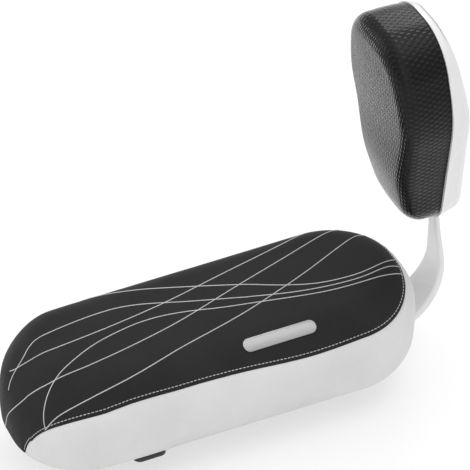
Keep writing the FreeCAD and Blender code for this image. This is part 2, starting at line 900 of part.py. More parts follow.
def back_block(name, grow, start, length, taper, edge_radius, backwards=False):
    """A tapering backrest block with rounded corners and a rounded far edge."""
    body = new_body(name)
    outline = draw_loop(new_sketch(body, "YZ_Plane", start), back_outline(grow))
    pad(body, outline, length, backwards=backwards, taper=taper)
    round_back_corners(body, grow)
    far = as_size(start) + (-as_size(length) if backwards else length)
    if edge_radius is not None:
        round_edges(body, edge_radius, lambda a, b: abs(a.x - far.value) + abs(b.x - far.value) < 0.01)
    return body


def pad_form(name, inset):
    """The pad's form, thicker at its top than at its foot, drawn in from the cover's face."""
    inset = as_size(inset)
    start = inset - s.cover_thickness
    body = new_body(name)
    outline = draw_loop(new_sketch(body, "YZ_Plane", start), back_outline(-inset))
    pad(body, outline, s.pad_top_depth * 1.5, taper=-s.pad_taper)
    low, high = -s.back_height, s.back_height * 2
    lean = (s.pad_top_depth - s.pad_foot_depth) / s.back_height
    foot = s.pad_foot_depth - inset + low * lean
    head = s.pad_foot_depth - inset + high * lean
    side = new_sketch(body, "XZ_Plane")
    draw_loop(side, [(foot, low), (far_away, low), (far_away, high), (head, high)])
    pocket_both_ways(body, side)
    round_back_corners(body, -inset)
    front = lambda p: abs(p.x - s.pad_foot_depth.value + inset.value - p.z * lean.value) < 0.01
    round_edges(body, s.pad_edge_radius - inset, lambda a, b: front(a) and front(b))
    return body


def shell_screw_spots(x):
    spots = []
    for height in (s.shell_screw_low, s.shell_screw_high):
        for side in (1, -1):
            spots.append((x, s.shell_screw_half_width * side, height, 0))
    return spots


def back_staples(name):
    x = -s.cover_thickness - s.staple_wire
    inset = s.back_hem_width * 0.8
    spots = []
    for share in (0.3, 0.55, 0.8):
        height = s.back_wide_height * share
        half = (s.back_bottom_width + (s.back_wide_width - s.back_bottom_width) * share) / 2
        for side in (1, -1):
            spots.append((x, (half - inset) * side, height, 0))
    for side in (1, -1):
        spots.append((x, s.back_top_width / 4 * side, s.back_height - inset, 90))
        spots.append((x, s.back_bottom_width / 4 * side, inset, 90))
    return group(name, staple(name + "_wire"), spots, across=True)


staple_room = back_staples("staple_room")
outer_pad = pad_form("pad_outer", 0)
lining_pad = pad_form("pad_lining", s.cover_thickness)
core_pad = pad_form("pad_core", s.cover_thickness + s.skin_gap)
back_hem = new_body("back_hem_opening")
draw_loop(new_sketch(back_hem, "YZ_Plane", -s.pad_top_depth), back_outline(-s.back_hem_width))
pad(back_hem, back_hem.Group[-1], s.pad_top_depth + s.skin_gap)
neck_half = s.arm_top_width / 2 + s.arm_clearance
neck_room = box("neck_room", -s.arm_top_flange - 2, 0, -neck_half, neck_half, -s.back_wide_height,
                s.back_hem_width * 2)

pad_skin = cut("pad_skin", outer_pad, lining_pad)
pad_skin = cut("pad_open_skin", pad_skin, back_hem)
pad_skin = cut("pad_notched_skin", pad_skin, neck_room)
keep(lean_back(cut("backrest_cover", pad_skin, staple_room)))

board_slab = box("board_slab", -far_away, s.board_thickness, -far_away, far_away, -far_away, far_away)
keep(lean_back(cut("backrest_foam", core_pad, board_slab)))
arm_nut_barrel = s.arm_screw_radius + 1
arm_nut_flange = s.arm_screw_radius * 3
arm_nut_sheet = s.arm_sheet / 2
board = common("board_plain", core_pad, board_slab)
arm_nut_hole = hole_tool("arm_nut_hole", arm_nut_barrel + s.skin_gap, s.board_thickness - arm_nut_sheet,
                         arm_nut_flange + s.skin_gap, -s.pad_top_depth, s.pad_top_depth)
board = cut("board_nutted", board, group("arm_nut_holes", arm_nut_hole, arm_screw_spots(0), across=True))
pilot = doc.addObject("Part::Cylinder", "pilot_hole")
bind(pilot, "Radius", s.shell_screw_radius + s.skin_gap / 4)
bind(pilot, "Height", s.pad_top_depth * 2)
pilot_holes = group("pilot_holes", pilot, shell_screw_spots(-s.pad_top_depth), across=True)
board = cut("board_drilled", board, pilot_holes)
keep(lean_back(cut("backrest_board", board, staple_room)))


def slope_shell(body, wall):
    """Cut the back of a shell block so that it runs forward from a ridge up to the shell's top."""
    wall = as_size(wall)
    lean = (s.shell_depth - s.shell_top_depth) / s.shell_ridge_drop
    ridge, high = s.back_height - s.shell_ridge_drop, s.back_height * 2
    back = wall - s.shell_depth
    head = back + (high - ridge) * lean
    side = new_sketch(body, "XZ_Plane")
    draw_loop(side, [(back, ridge), (head, high), (-far_away, high), (-far_away, ridge)])
    pocket_both_ways(body, side)
    on_ridge = lambda p: abs(p.z - ridge.value) < 0.01 and abs(p.x - back.value) < 0.01
    round_edges(body, s.shell_ridge_radius, lambda a, b: on_ridge(a) and on_ridge(b))
    on_back = lambda p: abs(p.x - back.value - max(p.z - ridge.value, 0) * lean.value) < 0.3
    return lambda a, b: on_back(a) and on_back(b) and not (abs(a.y - b.y) > 20 and abs(a.z - ridge.value) < 20)


rim_margin = s.shell_gap + s.shell_wall
shell_front = s.shell_rim + 1
shell_block = back_block("shell_block", rim_margin, shell_front, shell_front + s.shell_depth, -s.shell_taper,
                         None, backwards=True)
shell_back_edge = slope_shell(shell_block, 0)
round_edges(shell_block, s.shell_edge_radius, shell_back_edge)
rim_side = new_sketch(shell_block, "XZ_Plane")
rim_lean = (s.shell_rim - s.shell_rim_top) / s.back_height
draw_loop(rim_side, [
    (s.shell_rim + s.back_height * rim_lean, -s.back_height),
    (far_away, -s.back_height),
    (far_away, s.back_height * 2),
    (s.shell_rim - s.back_height * rim_lean * 2, s.back_height * 2),
])
pocket_both_ways(shell_block, rim_side)
seat_depth = shell_front + s.cover_thickness + s.shell_gap
shell_seat = back_block("shell_seat", s.shell_gap, shell_front, seat_depth, 0, None, backwards=True)
cavity_depth = shell_front + s.shell_depth - s.shell_wall
shell_cavity = back_block("shell_cavity", -s.shell_ledge, shell_front, cavity_depth, 0, None, backwards=True)
slope_shell(shell_cavity, s.shell_wall)
shell = cut("shell_stepped", shell_block, shell_seat)
shell = cut("shell_hollow", shell, shell_cavity)
boss = doc.addObject("Part::Cylinder", "shell_boss")
bind(boss, "Radius", s.shell_boss_radius)
bind(boss, "Height", s.shell_depth - s.shell_wall / 2 - s.skin_gap)
bosses = group("shell_bosses", boss, shell_screw_spots(s.shell_wall / 2 - s.shell_depth), across=True)
shell = fuse("shell_bossed", shell, bosses)
screw_head = s.shell_screw_radius * 2
sink = s.shell_screw_radius * 1.2
shell_hole = hole_tool("shell_hole", screw_head + s.hole_clearance, sink - s.shell_depth,
                       s.shell_screw_radius + s.hole_clearance, -s.shell_depth * 2, s.pad_top_depth)
shell = cut("shell_drilled", shell, group("shell_holes", shell_hole, shell_screw_spots(0), across=True))
keep(lean_back(cut("backrest_shell", shell, neck_room)))

arm_screw = screw("arm_screw", s.arm_screw_radius, s.arm_screw_radius * 1.7, s.arm_screw_radius,
                  s.arm_sheet + s.board_thickness - 0.5)
keep(lean_back(group("arm_screws", arm_screw, arm_screw_spots(-s.arm_sheet), across=True)))
arm_nut = tee_nut("arm_tee_nut", s.arm_screw_radius + s.skin_gap, arm_nut_barrel, arm_nut_flange,
                  arm_nut_sheet, s.board_thickness - 0.5)
keep(lean_back(group("arm_tee_nuts", arm_nut, arm_screw_spots(s.board_thickness), across=True)))
shell_screw = screw("shell_screw", s.shell_screw_radius, screw_head, sink * 0.8,
                    s.shell_depth - sink + s.board_thickness - 1)
keep(lean_back(group("shell_screws", shell_screw, shell_screw_spots(sink - s.shell_depth), across=True)))
keep(lean_back(back_staples("backrest_staples")))
doc.recompute()


# Check and write

for thing in doc.Objects:
    if "Invalid" in thing.State or "Error" in thing.State:
        raise RuntimeError("%s did not build" % thing.Label)
for node in nodes:
    if node.Shape.isNull() or not node.Shape.isValid():
        raise RuntimeError("%s has no valid shape" % node.Label)
os.makedirs("parts", exist_ok=True)
for node in nodes:
    node.Shape.exportStep("parts/%s.step" % node.Label)
    print(node.Label, len(node.Shape.Solids), round(node.Shape.Volume))
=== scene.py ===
import math

import bpy
import numpy as np
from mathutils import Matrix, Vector, noise
from mathutils.bvhtree import BVHTree


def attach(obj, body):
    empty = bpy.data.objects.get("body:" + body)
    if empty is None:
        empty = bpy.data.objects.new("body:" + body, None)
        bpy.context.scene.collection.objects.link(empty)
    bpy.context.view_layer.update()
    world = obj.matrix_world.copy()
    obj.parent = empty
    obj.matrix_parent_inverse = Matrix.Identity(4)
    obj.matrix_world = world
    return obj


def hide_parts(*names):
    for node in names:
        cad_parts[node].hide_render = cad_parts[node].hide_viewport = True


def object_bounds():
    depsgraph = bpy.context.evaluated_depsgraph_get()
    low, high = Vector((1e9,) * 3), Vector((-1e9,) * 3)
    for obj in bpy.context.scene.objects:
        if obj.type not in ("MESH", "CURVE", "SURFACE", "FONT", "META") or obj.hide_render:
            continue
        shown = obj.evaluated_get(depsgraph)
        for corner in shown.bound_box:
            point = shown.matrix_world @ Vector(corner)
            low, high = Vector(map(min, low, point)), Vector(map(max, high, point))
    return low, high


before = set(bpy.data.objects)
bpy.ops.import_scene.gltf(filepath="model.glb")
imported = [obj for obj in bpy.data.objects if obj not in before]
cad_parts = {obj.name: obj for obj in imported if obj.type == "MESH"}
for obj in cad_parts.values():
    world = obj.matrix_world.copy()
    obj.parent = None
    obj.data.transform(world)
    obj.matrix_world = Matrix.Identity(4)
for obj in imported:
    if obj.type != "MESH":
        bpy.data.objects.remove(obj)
cad_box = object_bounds()

# Sizes are in millimetres until a mesh is made.
# Most of them repeat those of the solids, so that each soft piece lies where its solid is.
MM = 0.001
SEAT_HALF_LENGTH = 175.0
SEAT_FRONT_HALF = 67.5
SEAT_REAR_HALF = 69.5
SEAT_FRONT_CORNER = 63.0
SEAT_REAR_CORNER = 65.3
SEAT_BOTTOM = 0.8
SEAT_TOP = 81.0
FRONT_SHOULDER = 36.0
REAR_SHOULDER = 32.0
FRONT_HEM = 7.0
SIDE_HEM = 8.0
REAR_HEM = 22.0
CROWN_RISE = 6.5
CROWN_RADIUS = (SEAT_REAR_HALF ** 2 + CROWN_RISE ** 2) / (2 * CROWN_RISE)
HEM_REACH = 28.0
SEAM_HEIGHT = 61.0
STITCH_RISE = 3.7
SKIN = 1.2


# Helpers for smooth numbers and meshes

def ramp(value, low, high):
    """0 below low, 1 above high, and a smooth step between them."""
    t = np.clip((np.asarray(value, float) - low) / (high - low), 0, 1)
    return t * t * (3 - 2 * t)


def unit(vectors):
    return vectors / np.maximum(np.linalg.norm(vectors, axis=-1, keepdims=True), 1e-9)


def walked(points):
    """Distance along a path at each of its points."""
    return np.concatenate([[0], np.cumsum(np.linalg.norm(np.diff(points, axis=0), axis=1))])


def between(at, distances, points):
    """Points at given distances along a path."""
    return np.stack([np.interp(at, distances, points[:, k]) for k in range(points.shape[1])], -1)


def rounded_outline(corners, radii, count, arc_steps=160):
    """Evenly spaced points round a polygon with rounded corners, and their outward directions.

    The corners run anticlockwise, and the first point is the middle of the last side."""
    corners = np.array(corners, float)
    points, normals = [], []
    total = len(corners)
    for index in range(total):
        before, here, after = corners[index - 1], corners[index], corners[(index + 1) % total]
        into, out = unit(here - before), unit(after - here)
        turn = math.acos(np.clip(into @ out, -1, 1))
        reach = radii[index] * math.tan(turn / 2)
        start = here - into * reach
        normal = np.array([into[1], -into[0]])
        centre = start - normal * radii[index]
        for step in np.linspace(0, turn, arc_steps):
            c, s = math.cos(step), math.sin(step)
            turned = np.array([normal[0] * c - normal[1] * s, normal[0] * s + normal[1] * c])
            points.append(centre + turned * radii[index])
            normals.append(turned)
    points, normals = np.array(points), np.array(normals)
    middle = (points[-1] + points[0]) / 2
    points = np.vstack([middle, points, middle])
    normals = np.vstack([normals[0], normals, normals[0]])
    length = walked(points)
    at = np.linspace(0, length[-1], count, endpoint=False)
    return between(at, length, points), unit(between(at, length, normals)), at


def soft_noise(points, size, seed):
    """Slow noise at each point, from about -1 to 1."""
    flat = points.reshape(-1, 3) / size + seed
    values = [noise.noise(Vector(p)) for p in flat]
    return np.array(values).reshape(points.shape[:-1])


def add_mesh(name, verts, faces):
    """A smooth mesh from points in metres, put in the scene."""
    mesh = bpy.data.meshes.new(name)
    mesh.from_pydata(verts, [], faces)
    mesh.polygons.foreach_set("use_smooth", [True] * len(mesh.polygons))
    mesh.update()
    piece = bpy.data.objects.new(name, mesh)
    bpy.context.scene.collection.objects.link(piece)
    return piece


def grid_mesh(name, grid, closed, cap=False):
    """A mesh of quads over a grid of points given in millimetres."""
    count, rows = grid.shape[:2]
    verts = [tuple(p) for p in grid.reshape(-1, 3) * MM]
    faces = []
    for i in range(count if closed else count - 1):
        j = (i + 1) % count
        for k in range(rows - 1):
            faces.append((i * rows + k, j * rows + k, j * rows + k + 1, i * rows + k + 1))
    if cap:
        faces.append(tuple(i * rows + rows - 1 for i in range(count)))
    return add_mesh(name, verts, faces)


def grid_normals(grid, closed):
    """Outward directions of a grid of points."""
    if closed:
        along = np.roll(grid, -1, 0) - np.roll(grid, 1, 0)
    else:
        along = np.gradient(grid, axis=0)
    up = np.gradient(grid, axis=1)
    return unit(np.cross(along, up))


def thicken(piece):
    skin = piece.modifiers.new("skin", "SOLIDIFY")
    skin.thickness = SKIN * MM
    skin.offset = -1


# Cushion surface: a hem, a wall, a shoulder and a crowned top, walked up from the hem at each station

STATIONS = 440
seat_plan, seat_out, seat_along = rounded_outline(
    [
        (SEAT_HALF_LENGTH, SEAT_FRONT_HALF),
        (-SEAT_HALF_LENGTH, SEAT_REAR_HALF),
        (-SEAT_HALF_LENGTH, -SEAT_REAR_HALF),
        (SEAT_HALF_LENGTH, -SEAT_FRONT_HALF),
    ],
    [SEAT_FRONT_CORNER, SEAT_REAR_CORNER, SEAT_REAR_CORNER, SEAT_FRONT_CORNER],
    STATIONS,
)


def top_height(x, y):
    """Height of the crowned top, with a little more fall over the front end."""
    crown = SEAT_TOP - CROWN_RADIUS + np.sqrt(CROWN_RADIUS ** 2 - y ** 2)
    return crown - 2.5 * ramp(x, 95, 185)


def hem_radius(out):
    """The hem is tight along the sides and rounder at the ends."""
    turned = math.asin(np.clip(out[0], -1, 1)) / (math.pi / 2)
    return SIDE_HEM + (FRONT_HEM - SIDE_HEM) * max(turned, 0) + (REAR_HEM - SIDE_HEM) * max(-turned, 0)


def seat_profile(index):
    """Dense points from the hem's inner edge up and over to the middle, at one station."""
    (px, py), (ox, oy) = seat_plan[index], seat_out[index]
    hem = float(hem_radius(seat_out[index]))
    forward = float(np.clip((px + 110) / 222, 0, 1))
    shoulder = REAR_SHOULDER + (FRONT_SHOULDER - REAR_SHOULDER) * forward

    def top_at(d):
        return float(top_height(px - ox * d, py - oy * d))

    slope = 0.0
    for _ in range(3):
        touch = shoulder * (1 - math.sin(slope))
        slope = math.atan(top_at(touch + 0.5) - top_at(touch - 0.5))
    centre = top_at(touch) - shoulder * math.cos(slope)
    rows = [(d, SEAT_BOTTOM) for d in np.linspace(HEM_REACH, hem, 24)]
    for a in np.linspace(0, math.pi / 2, 24)[1:]:
        rows.append((hem * (1 - math.sin(a)), SEAT_BOTTOM + hem * (1 - math.cos(a))))
    rows += [(0.0, z) for z in np.linspace(SEAT_BOTTOM + hem, centre, 60)[1:]]
    for a in np.linspace(0, math.pi / 2 - slope, 90)[1:]:
        rows.append((shoulder * (1 - math.cos(a)), centre + shoulder * math.sin(a)))
    rows += [(d, top_at(d)) for d in np.linspace(touch, 62.0, 50)[1:]]
    inward, up = np.array(rows).T
    front_lean = 5.5 * ramp(up, 12, 84) * ramp(ox, 0.1, 1.0) * ramp(up, 5, 60)
    inward = inward + front_lean * (1 - ramp(inward, 10, 60))
    swell = 1.1 * np.sin(np.pi * np.clip((up - 4) / (SEAM_HEIGHT - 4), 0, 1))
    inward = inward - swell * (inward < 12)
    return np.stack([px - ox * inward, py - oy * inward, up], 1)


def seam_line(x):
    """Height of the seam along the cushion. It sags a little behind the middle and rises round the rear."""
    x = np.asarray(x, float)
    bend, begin, reach = 120.0, -118.2, 56
    run = np.clip(begin - x, 0, reach)
    sag = 4.4 * np.exp(-((x + 62) / 52) ** 2)
    return SEAM_HEIGHT + bend - np.sqrt(bend ** 2 - run ** 2) - sag


def tongue_half_width(z):
    """Half width of the black tongue that comes down over the front end."""
    heights = [0, 5, 12, 19, 26, 33.5, 39.5, 46, 51.5, 55.5, 60, 62]
    halves = [23.5, 25, 27.5, 30.5, 34, 38.5, 43, 48.5, 54, 58.5, 64, 80]
    return np.interp(z, heights, halves)


def is_white(points):
    tongue = (points[:, 0] > 105) & (np.abs(points[:, 1]) < tongue_half_width(points[:, 2]))
    return (points[:, 2] < seam_line(points[:, 0])) & ~tongue


class Strip:
    """One station's walk, measured by the distance along it."""

    def __init__(self, points):
        self.points = points
        self.at = walked(points)
        white = np.nonzero(is_white(points))[0]
        self.seam = 0.0
        if len(white):
            self.seam = (self.at[white[-1]] + self.at[white[-1] + 1]) / 2

    def spot(self, distance):
        return between(distance, self.at, self.points)


def smooth_seams(found):
    """Even out the seam from station to station, but not where it jumps at the tongue."""
    wide = np.concatenate([found[-5:], found, found[:5]])
    even = np.convolve(wide, np.ones(11) / 11, "valid")
    for strip, level, calm in zip(strips, found, even):
        strip.seam = calm if level > 0 and abs(calm - level) < 4 else level


strips = [Strip(seat_profile(index)) for index in range(STATIONS)]
seams = np.array([strip.seam for strip in strips])
smooth_seams(seams)
has_white = seams > 0
first_white = int(np.argmax(has_white))
last_white = STATIONS - 1 - int(np.argmax(has_white[::-1]))

TONGUE_FOOT = HEM_REACH + 9.0
UNDER_SEAM = 8
NEAR_SEAM = np.array([0, 0.5, 1.0, 1.5, 2.1, 2.7, 3.2, 3.7, 4.2, 4.8, 5.6, 6.8, 8.6, 11.5, 15.5])
STITCH_ROW = UNDER_SEAM + 7


def rows_up(strip):
    """Distances of the black rows, close together at the seam and the stitches.

    Below the seam they are a narrow allowance behind the white, or the tongue's own turned-in hem."""
    start, end = strip.seam or TONGUE_FOOT, strip.at[-1]
    foot = strip.seam - 2.0 if strip.seam else 0.0
    under = np.linspace(foot, start, UNDER_SEAM, endpoint=False)
    far = np.linspace(0, 1, 27)[1:] * (end - start - NEAR_SEAM[-1]) + NEAR_SEAM[-1]
    return np.concatenate([under, start + NEAR_SEAM, start + far])


def rows_down(strip):
    """Distances of the white rows, from the hem's inner edge up to the seam."""
    share = 1 - np.linspace(1, 0, 34) ** 1.5
    return strip.seam * share


def surface_grid(row_picker, chosen):
    """Points of the chosen stations' rows, and each row's distance above the seam."""
    grid = np.array([strips[index].spot(row_picker(strips[index])) for index in chosen])
    rest = np.array([row_picker(strips[index]) - strips[index].seam for index in chosen])
    return grid, rest


def black_top():
    """The black panel, drawn in at the seam and the stitches, and its outward directions."""
    grid, rest = surface_grid(rows_up, range(STATIONS))
    ways = grid_normals(grid, True)
    crease = -0.9 * np.exp(-(rest / 1.3) ** 2) - 0.3 * np.exp(-((rest - STITCH_RISE) / 0.6) ** 2)
    crease = np.where(rest < 0, -0.9 + 0.7 * rest, crease) * has_white[:, None]
    calm = 0.5 * soft_noise(grid, 55, 3.0) * ramp(rest, 4, 40)
    piece = grid_mesh("seat_top_soft", grid + ways * (crease + calm)[..., None], True, cap=True)
    thicken(piece)
    return piece, ways


def white_band():
    """The white band, puckered under the seam. It stops at the tongue on either side of the front end."""
    chosen = list(range(first_white - 1, last_white + 2))
    grid, rest = surface_grid(rows_down, chosen)
    ways = grid_normals(grid, False)
    along = seat_along[chosen]
    pucker = np.sin(along / 2.3) * (0.5 + 0.5 * np.sin(along / 17.0))
    rear_share = ramp(-grid[:, -1, 0], 40, 150) * 0.75 + 0.25
    folds = (pucker * rear_share)[:, None] * 0.22 * np.exp(-((rest + 3.5) / 3.0) ** 2)
    crease = -0.9 * np.exp(-(rest / 1.3) ** 2)
    calm = 0.45 * soft_noise(grid, 45, 9.0) * ramp(-rest, 4, 25)
    piece = grid_mesh("seat_band_soft", grid + ways * (crease + folds + calm)[..., None], False)
    thicken(piece)
    return piece


seat_top, top_ways = black_top()
seat_band = white_band()


# Thread: short round stitches on the black, a little above the seam

def stitch_path():
    """Points and outward directions along the stitched line, all the way round from tongue to tongue."""
    path, ways = [], []
    for index in range(first_white, last_white + 1):
        path.append(strips[index].spot(strips[index].seam + STITCH_RISE))
        ways.append(top_ways[index, STITCH_ROW])
    return np.array(path), np.array(ways)


def stitches(name, path, ways, pitch, length, radius):
    """One mesh of many small capsules along a path."""
    run = walked(path)
    rings = [(-0.5, 0.35), (-0.36, 0.85), (0.0, 1.0), (0.36, 0.85), (0.5, 0.35)]
    sides = 7
    verts, faces = [], []
    for number, centre in enumerate(np.arange(pitch, run[-1] - pitch, pitch)):
        tail, head = (between(centre + half, run, path) for half in (-length / 2, length / 2))
        middle = (tail + head) / 2
        out = unit(between(centre, run, ways))
        along = unit(head - tail)
        across = unit(np.cross(out, along))
        askew = 0.07 * math.sin(number * 1.7)
        along = unit(along + across * askew)
        base = len(verts)
        for share, swell in rings:
            lift = -0.25 + 0.2 * (1 - (share * 2) ** 2)
            for side in range(sides):
                a = 2 * math.pi * side / sides
                wide = across * math.cos(a) * radius * swell
                high = out * (math.sin(a) * radius * swell * 0.8 + lift)
                verts.append(tuple((middle + along * share * length + (wide + high)) * MM))
        for ring in range(len(rings) - 1):
            near, far = base + ring * sides, base + (ring + 1) * sides
            for side in range(sides):
                turn = (side + 1) % sides
                faces.append((near + side, near + turn, far + turn, far + side))
        faces.append(tuple(base + side for side in reversed(range(sides))))
        faces.append(tuple(base + (len(rings) - 1) * sides + side for side in range(sides)))
    return add_mesh(name, verts, faces)


seat_thread = stitches("seat_thread", *stitch_path(), pitch=3.2, length=2.4, radius=0.36)

# Thin raised stripes over the black top, laid on its surface
STRIPES = [
    [
        (88, -60, 66), (62, -48, 76), (28, -35, 79), (-28, -12, 81), (-78, 10, 81), (-114, 16, 81),
        (-140, 14, 80), (-164, 6, 74),
    ],
    [
        (174, -2, 51), (172, -5, 59), (166, -7, 69), (158, -10, 75), (150, -16, 79), (137, -20, 80),
        (87, -26, 80), (54, -23, 80), (5, -6, 81), (-61, 14, 81), (-119, 21, 80), (-155, 16, 78),
        (-163, 15, 74),
    ],
    [
        (160, 45, 43), (160, 40, 59), (147, 30, 77), (108, 10, 81), (77, 1, 81), (50, -2, 81),
        (23, 1, 81), (-17, 11, 81), (-88, 24, 80), (-140, 26, 80), (-162, 23, 73),
    ],
    [
        (170, -13, 62), (166, -7, 69), (145, -1, 80), (96, -5, 81), (36, -15, 81), (-29, -31, 80),
        (-82, -45, 78), (-110, -55, 73),
    ],
    [
        (175, -8, 6), (175, -4, 13), (175, 3, 29), (174, 14, 46), (171, 20, 57), (166, 23, 65),
        (159, 26, 71), (145, 29, 78), (109, 27, 80), (42, 13, 81), (-17, -6, 81), (-72, -25, 80),
        (-123, -43, 78), (-140, -50, 74),
    ],
    [
        (160, 45, 43), (155, 49, 54), (144, 52, 63), (92, 50, 75), (31, 35, 79), (-29, 19, 81),
        (-84, -2, 81), (-135, -25, 80), (-158, -34, 73),
    ],
]


def smooth_route(points, spacing):
    """Points along a smooth curve through a few given ones."""
    points = np.array(points, float)
    ends = np.vstack([2 * points[0] - points[1], points, 2 * points[-1] - points[-2]])
    out = []
    for a, b, c, d in zip(ends, ends[1:], ends[2:], ends[3:]):
        steps = max(2, int(np.linalg.norm(c - b) / spacing))
        square, cube = 2 * a - 5 * b + 4 * c - d, 3 * b - a - 3 * c + d
        for t in np.linspace(0, 1, steps, endpoint=False):
            out.append(0.5 * (2 * b + (c - a) * t + square * t ** 2 + cube * t ** 3))
    out.append(points[-1])
    return np.array(out)


def eased(values):
    """The same row of values with its inner ones drawn towards their neighbours."""
    for _ in range(2):
        values[1:-1] = (values[:-2] + 2 * values[1:-1] + values[2:]) / 4
    return values


def stripe_mesh(name, routes, carrier, width, height):
    """Low half-round strips that follow the carrier's surface."""
    corners = [v.co for v in carrier.data.vertices]
    tree = BVHTree.FromPolygons(corners, [p.vertices for p in carrier.data.polygons])
    section = [(-1.0, -0.6), (-0.75, 0.45), (-0.3, 0.95), (0.3, 0.95), (0.75, 0.45), (1.0, -0.6)]
    n = len(section)
    verts, faces = [], []
    for route in routes:
        spots, outs = [], []
        for point in smooth_route(route, 2.0):
            place, normal, _, _ = tree.find_nearest(Vector(point * MM))
            spots.append(np.array(place) / MM)
            outs.append(np.array(normal))
        spots, outs = eased(np.array(spots)), unit(eased(np.array(outs)))
        along = unit(np.gradient(spots, axis=0))
        across = unit(np.cross(outs, along))
        base = len(verts)
        for spot, out, side in zip(spots, outs, across):
            for w, h in section:
                verts.append(tuple((spot + side * w * width / 2 + out * h * height) * MM))
        for i in range(len(spots) - 1):
            for k in range(n - 1):
                a = base + i * n + k
                faces.append((a, a + n, a + n + 1, a + 1))
    return add_mesh(name, verts, faces)


pin_stripes = stripe_mesh("pin_stripes", STRIPES, seat_top, width=0.95, height=0.42)

# Backrest pad in its own leaning frame: x forward from the board, y across, z up from its foot
LEAN = math.radians(4)
ARM_PLACE = -205.0
ARM_FOOT_TOP = 11.6
BACK_RISE = 112.0
BACK_PLACE = (ARM_PLACE + BACK_RISE * math.sin(LEAN), 0.0, ARM_FOOT_TOP + BACK_RISE * math.cos(LEAN))
BACK_HEIGHT = 186.0
BACK_WIDE_HEIGHT = 122
BACK_FOOT_HALF = 30
BACK_WIDE_HALF = 55.5
BACK_TOP_HALF = 36
BACK_FOOT_RADIUS = 27
BACK_SIDE_RADIUS = 90
BACK_TOP_RADIUS = 40
PAD_FOOT_DEPTH = 34
PAD_TOP_DEPTH = 50
PAD_EDGE_RADIUS = 13.0
PAD_TURN_IN = 1.4
PAD_TAPER = 3
PAD_STATIONS = 300
back_radii = [BACK_FOOT_RADIUS, BACK_SIDE_RADIUS, BACK_TOP_RADIUS]
pad_plan, pad_out, pad_along = rounded_outline(
    [
        (BACK_FOOT_HALF, 0),
        (BACK_WIDE_HALF, BACK_WIDE_HEIGHT),
        (BACK_TOP_HALF, BACK_HEIGHT),
        (-BACK_TOP_HALF, BACK_HEIGHT),
        (-BACK_WIDE_HALF, BACK_WIDE_HEIGHT),
        (-BACK_FOOT_HALF, 0),
    ],
    back_radii + back_radii[::-1],
    PAD_STATIONS,
)


def pad_front(y, z):
    """How far forward the pad's face stands: thicker at the top, and crowned."""
    share = z / BACK_HEIGHT
    half = np.interp(z, [0, BACK_WIDE_HEIGHT, BACK_HEIGHT], [BACK_FOOT_HALF, BACK_WIDE_HALF, BACK_TOP_HALF])
    crown = np.clip(1 - (y / half) ** 2, 0, 1) * np.clip(1 - ((z - 95) / 105) ** 2, 0, 1)
    belly = 4.0 * np.exp(-((z - 56) / 32) ** 2) - 2.5 * (1 - ramp(z, 0, 26))
    return PAD_FOOT_DEPTH + (PAD_TOP_DEPTH - PAD_FOOT_DEPTH) * share + 3.5 * crown + belly


def pad_profile(index):
    """From the pad's rear edge forward along its side, round its front edge and onto its face."""
    (py, pz), (oy, oz) = pad_plan[index], pad_out[index]
    radius = PAD_EDGE_RADIUS + float(ramp(pz, 130, BACK_HEIGHT))
    flare = 8.3 * float(ramp(pz, 85, BACK_HEIGHT)) + 6.0 * float(1 - ramp(pz, 0, 45))
    taper = math.tan(math.radians(PAD_TAPER - flare))
    edge = float(pad_front(py, pz))

    def front_at(d):
        return float(pad_front(py - oy * d, pz - oz * d))

    length = edge - radius + PAD_TURN_IN
    rows = []
    for x in np.linspace(-PAD_TURN_IN, edge - radius, 30):
        belly = 0.9 * math.sin(math.pi * (x + PAD_TURN_IN) / length)
        rows.append((x, (x + PAD_TURN_IN) * taper - belly))
    start = length * taper
    for a in np.linspace(0, math.pi / 2, 26)[1:]:
        d = start + radius * (1 - math.cos(a))
        rows.append((front_at(d) - radius * (1 - math.sin(a)), d))
    face_reach, face_steps = 50.0, 25
    inner = start + radius
    past_edge = inner + (face_reach - inner) / face_steps
    rows.append((front_at(past_edge), past_edge))
    rows = np.array(rows)
    return np.stack([rows[:, 0], py - oy * rows[:, 1], pz - oz * rows[:, 1]], 1)


def lean(points):
    """From the backrest's frame to the part's own, in millimetres."""
    c, s = math.cos(LEAN), math.sin(LEAN)
    x, y, z = points[..., 0], points[..., 1], points[..., 2]
    return np.stack([BACK_PLACE[0] + x * c + z * s, y, BACK_PLACE[2] - x * s + z * c], -1)


def face_rows(grid, count):
    """Rows that close the face: the last loop drawn in to the pad's middle line."""
    rim = grid[:, -1]
    spine = np.stack([rim[:, 0], rim[:, 1] * 0, np.clip(rim[:, 2], 60, 128)], 1)
    rows = []
    for share in np.linspace(0, 1, count + 1)[1:]:
        flat = rim + (spine - rim) * share
        flat[:, 0] = pad_front(flat[:, 1], flat[:, 2])
        rows.append(flat)
    return np.concatenate([grid, np.stack(rows, 1)], 1)


def map_embossing(piece, points):
    """Two maps in millimetres: the face lies flat, and the side is unrolled round the edge."""
    mesh = piece.data
    face_map = mesh.uv_layers.new(name="face")
    side_map = mesh.uv_layers.new(name="side")
    on_side = mesh.attributes.new("on_side", "FLOAT", "POINT")
    behind_face = pad_front(points[..., 1], points[..., 2]) - points[..., 0]
    on_side.data.foreach_set("value", ramp(behind_face, 2.5, 5.5).reshape(-1))
    rows = points.shape[1]
    around = pad_along[::-1]
    whole_way = pad_along[-1] + pad_along[1]
    for polygon in mesh.polygons:
        columns = [mesh.loops[k].vertex_index // rows for k in polygon.loop_indices]
        wraps = max(columns) - min(columns) > PAD_STATIONS / 2
        for k in polygon.loop_indices:
            column, row = divmod(mesh.loops[k].vertex_index, rows)
            x, y, z = points[column, row]
            along = around[column]
            if wraps and column > PAD_STATIONS / 2:
                along -= whole_way
            face_map.data[k].uv = (y, z)
            side_map.data[k].uv = (along, x)


